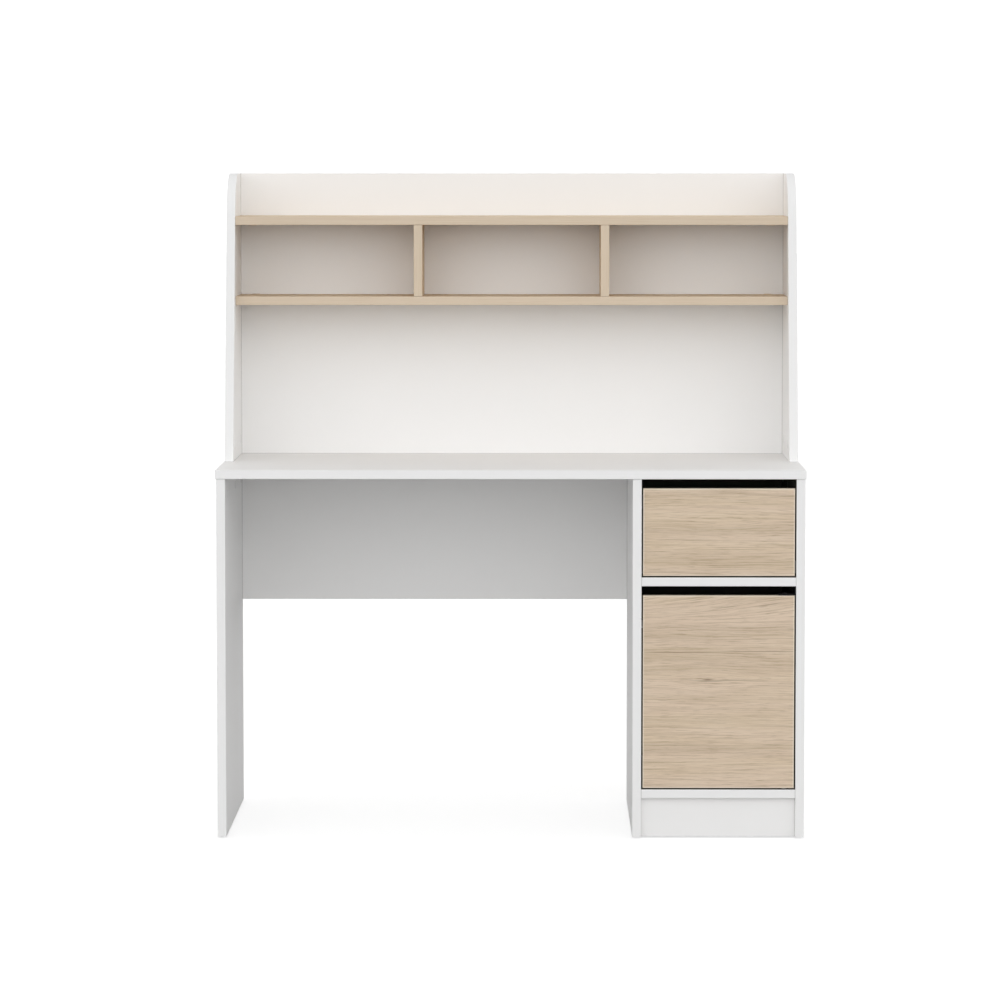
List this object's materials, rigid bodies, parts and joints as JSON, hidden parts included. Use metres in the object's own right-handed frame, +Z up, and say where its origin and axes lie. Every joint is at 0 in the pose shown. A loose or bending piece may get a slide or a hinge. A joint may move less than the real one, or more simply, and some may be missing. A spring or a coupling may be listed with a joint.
{
  "type": "student desk with hutch",
  "caption": "Student desk with a knee space, a pedestal with a sliding drawer and a hinged door, and a shelf hutch with cubbies on its top.",
  "frame": {"origin": "on the floor, under the middle of the desk's bounding box", "axes": "+X to the right as seen by the user, +Y from the front to the back, +Z up"},
  "size_m": [1.2, 0.55, 1.353],
  "materials": {
    "white_board": "white melamine-faced board, satin",
    "oak_board": "light oak decor, fine grain, matt",
    "hardboard": "white-lacquered hardboard",
    "drawer_board": "white foil-wrapped board",
    "runner_steel": "white epoxy powder coat",
    "bright_steel": "zinc-plated steel",
    "cam_zinc": "die-cast zinc",
    "black_steel": "black-coated steel",
    "nylon": "natural nylon",
    "beech": "plain beech",
    "oak_plastic": "oak-coloured moulded cap",
    "white_plastic": "white moulded plastic",
    "glide_plastic": "grey moulded glide",
    "magnet": "dark ferrite"
  },
  "bodies": {
    "carcass": {"cabinet_left_runner": "runner_steel", "cabinet_right_runner": "runner_steel", "cabinet_roller_axles": "bright_steel", "cabinet_runner_screws": "bright_steel", "cam_bolts": "bright_steel", "cam_covers_oak": "oak_plastic", "cam_covers_white": "white_plastic", "cam_locks": "cam_zinc", "catch_body": "white_plastic", "catch_magnet": "magnet", "catch_screws": "bright_steel", "desktop": "white_board", "door_bottom_bracket": "black_steel", "door_bracket_screws": "black_steel", "door_top_bracket": "black_steel", "door_top_pin": "black_steel", "door_washer": "nylon", "floor_glides": "glide_plastic", "hutch_back": "white_board", "hutch_divider_1": "oak_board", "hutch_divider_2": "oak_board", "hutch_left_side": "white_board", "hutch_lower_shelf": "oak_board", "hutch_right_side": "white_board", "hutch_upper_shelf": "oak_board", "left_end_panel": "white_board", "link_bolts": "bright_steel", "modesty_panel": "white_board", "pedestal_back": "hardboard", "pedestal_bottom": "white_board", "pedestal_divider": "white_board", "pedestal_inner_panel": "white_board", "pedestal_outer_panel": "white_board", "plinth": "white_board", "wood_dowels": "beech"},
    "drawer": {"drawer_back": "drawer_board", "drawer_bottom": "hardboard", "drawer_cam_bolts": "bright_steel", "drawer_cams": "cam_zinc", "drawer_dowels": "beech", "drawer_front": "oak_board", "drawer_left_runner": "runner_steel", "drawer_left_side": "drawer_board", "drawer_right_runner": "runner_steel", "drawer_right_side": "drawer_board", "drawer_roller_axles": "bright_steel", "drawer_runner_screws": "bright_steel", "drawer_screws": "bright_steel"},
    "door": {"door": "oak_board", "door_bushes": "nylon", "strike_plate": "bright_steel", "strike_screw": "bright_steel"},
    "cabinet_left_roller": {"cabinet_left_roller": "nylon"},
    "cabinet_right_roller": {"cabinet_right_roller": "nylon"},
    "drawer_left_roller": {"drawer_left_roller": "nylon"},
    "drawer_right_roller": {"drawer_right_roller": "nylon"}
  },
  "joints": [
    {"name": "drawer_slide", "type": "slide", "parent": "carcass", "child": "drawer", "axis": [0, -1, 0], "range_m": [0, 0.33]},
    {"name": "door_hinge", "type": "hinge", "parent": "carcass", "child": "door", "pos_m": [0.557, -0.264, 0.301], "axis": [0, 0, 1], "range_deg": [0, 110]},
    {"name": "cabinet_left_roller_spin", "type": "hinge", "parent": "carcass", "child": "cabinet_left_roller", "pos_m": [0.2726, -0.235, 0.5528], "axis": [1, 0, 0], "range_deg": [0, 1900]},
    {"name": "cabinet_right_roller_spin", "type": "hinge", "parent": "carcass", "child": "cabinet_right_roller", "pos_m": [0.5734, -0.235, 0.5528], "axis": [1, 0, 0], "range_deg": [0, 1900]},
    {"name": "drawer_left_roller_spin", "type": "hinge", "parent": "drawer", "child": "drawer_left_roller", "pos_m": [0.2726, 0.183, 0.5527], "axis": [1, 0, 0], "range_deg": [0, 1900]},
    {"name": "drawer_right_roller_spin", "type": "hinge", "parent": "drawer", "child": "drawer_right_roller", "pos_m": [0.5734, 0.183, 0.5527], "axis": [1, 0, 0], "range_deg": [0, 1900]}
  ],
  "couplings": [
    {"joint": "cabinet_left_roller_spin", "follows": "drawer_slide", "rad_per_m": 100},
    {"joint": "cabinet_right_roller_spin", "follows": "drawer_slide", "rad_per_m": 100},
    {"joint": "drawer_left_roller_spin", "follows": "drawer_slide", "rad_per_m": 100},
    {"joint": "drawer_right_roller_spin", "follows": "drawer_slide", "rad_per_m": 100}
  ]
}
